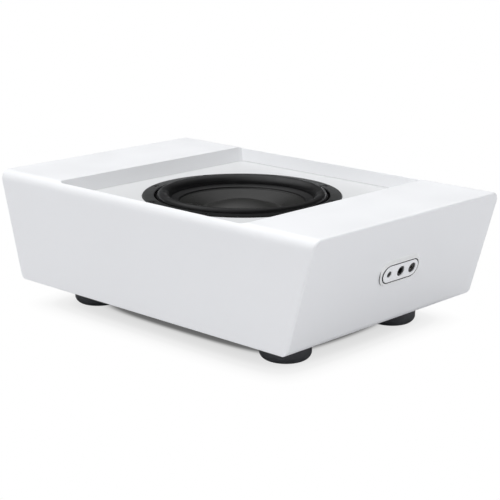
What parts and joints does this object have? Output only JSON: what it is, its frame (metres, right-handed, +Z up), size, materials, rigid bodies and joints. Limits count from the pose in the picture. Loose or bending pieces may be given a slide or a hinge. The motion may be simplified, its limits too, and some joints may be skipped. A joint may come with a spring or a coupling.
{
  "type": "subwoofer",
  "caption": "Low wedge-ended subwoofer in white satin lacquer with an up-firing woofer in a square recess, rubber feet and a small socket plate on one end.",
  "frame": {"origin": "on the floor under the middle of the cabinet", "axes": "+X along the length towards the end with the sockets, -Y is the front, +Z up out of the woofer"},
  "size_m": [0.46, 0.296, 0.1465],
  "materials": {
    "basket_black": "black powder coat",
    "black_board": "black stained fibreboard",
    "black_screw": "black oxide",
    "button_black": "black moulded plastic",
    "cable_grey": "flat ribbon insulation",
    "cap_sleeve": "shrink sleeve",
    "chip": "black epoxy",
    "cone_pulp": "black cone with a faint sheen",
    "copper": "enamelled copper winding",
    "ferrite": "ground ferrite",
    "fibre_board": "phenolic strip",
    "foam": "closed-cell foam",
    "foot_rubber": "satin moulded rubber",
    "former_alu": "thin rolled sheet",
    "heat_alu": "extruded and anodised",
    "jack_black": "black moulded plastic",
    "lacquer": "white satin lacquer over fibreboard",
    "lug_brass": "tinned brass",
    "mdf": "raw fibreboard",
    "motor_steel": "plated steel",
    "pcb": "green solder mask",
    "pine": "sawn softwood",
    "spider_cloth": "resin-dipped corrugated cloth",
    "standoff_brass": "turned brass",
    "steel_screw": "zinc plated",
    "surround_rubber": "matte butyl rubber",
    "switch_metal": "pressed steel shell",
    "trim_plastic": "fine moulded texture",
    "wadding": "white polyester wadding",
    "white_plastic": "white moulded plastic",
    "wire_red": "silicone insulation"
  },
  "bodies": {
    "cabinet": {"top_baffle": "lacquer", "front_panel": "lacquer", "back_panel": "lacquer", "left_end_panel": "lacquer", "right_end_panel": "lacquer", "bottom_panel": "black_board", "bottom_seal": "foam", "front_rail": "pine", "back_rail": "pine", "left_brace": "mdf", "right_brace": "mdf", "bottom_screws": "black_screw", "foot_front_left": "foot_rubber", "foot_front_right": "foot_rubber", "foot_back_left": "foot_rubber", "foot_back_right": "foot_rubber", "foot_washers": "steel_screw", "foot_screws": "steel_screw", "wadding_left": "wadding", "wadding_front": "wadding", "wadding_back": "wadding", "mounting_gasket": "foam", "basket": "basket_black", "surround": "surround_rubber", "trim_ring": "trim_plastic", "driver_screws": "black_screw", "spider": "spider_cloth", "top_plate": "motor_steel", "magnet": "ferrite", "pole_yoke": "motor_steel", "motor_screws": "steel_screw", "terminal_strip": "fibre_board", "terminal_lugs": "lug_brass", "tinsel_leads": "copper", "socket_bezel": "lacquer", "connector_plate": "white_plastic", "power_jack": "jack_black", "line_jack": "jack_black", "switch_body": "switch_metal", "jack_bracket": "jack_black", "jack_board": "pcb", "jack_screws": "steel_screw", "amp_board": "pcb", "board_standoffs": "standoff_brass", "board_screws": "steel_screw", "amp_chip": "chip", "heat_sink": "heat_alu", "filter_capacitors": "cap_sleeve", "output_inductors": "chip", "radio_module": "switch_metal", "speaker_header": "white_plastic", "speaker_cable": "wire_red", "jack_cable": "cable_grey"},
    "cone_assembly": {"cone": "cone_pulp", "dust_cap": "cone_pulp", "coil_former": "former_alu", "voice_coil": "copper"},
    "button": {"pairing_button": "button_black", "switch_plunger": "button_black"}
  },
  "joints": [
    {"name": "cone_stroke", "type": "slide", "parent": "cabinet", "child": "cone_assembly", "axis": [0, 0, 1], "range_m": [-0.008, 0.008], "stiffness_N_per_m": 2600, "deforming": ["surround", "spider", "tinsel_leads"]},
    {"name": "button_press", "type": "slide", "parent": "cabinet", "child": "button", "axis": [-0.9627, 0, 0.2705], "range_m": [0, 0.0005], "stiffness_N_per_m": 2000}
  ]
}
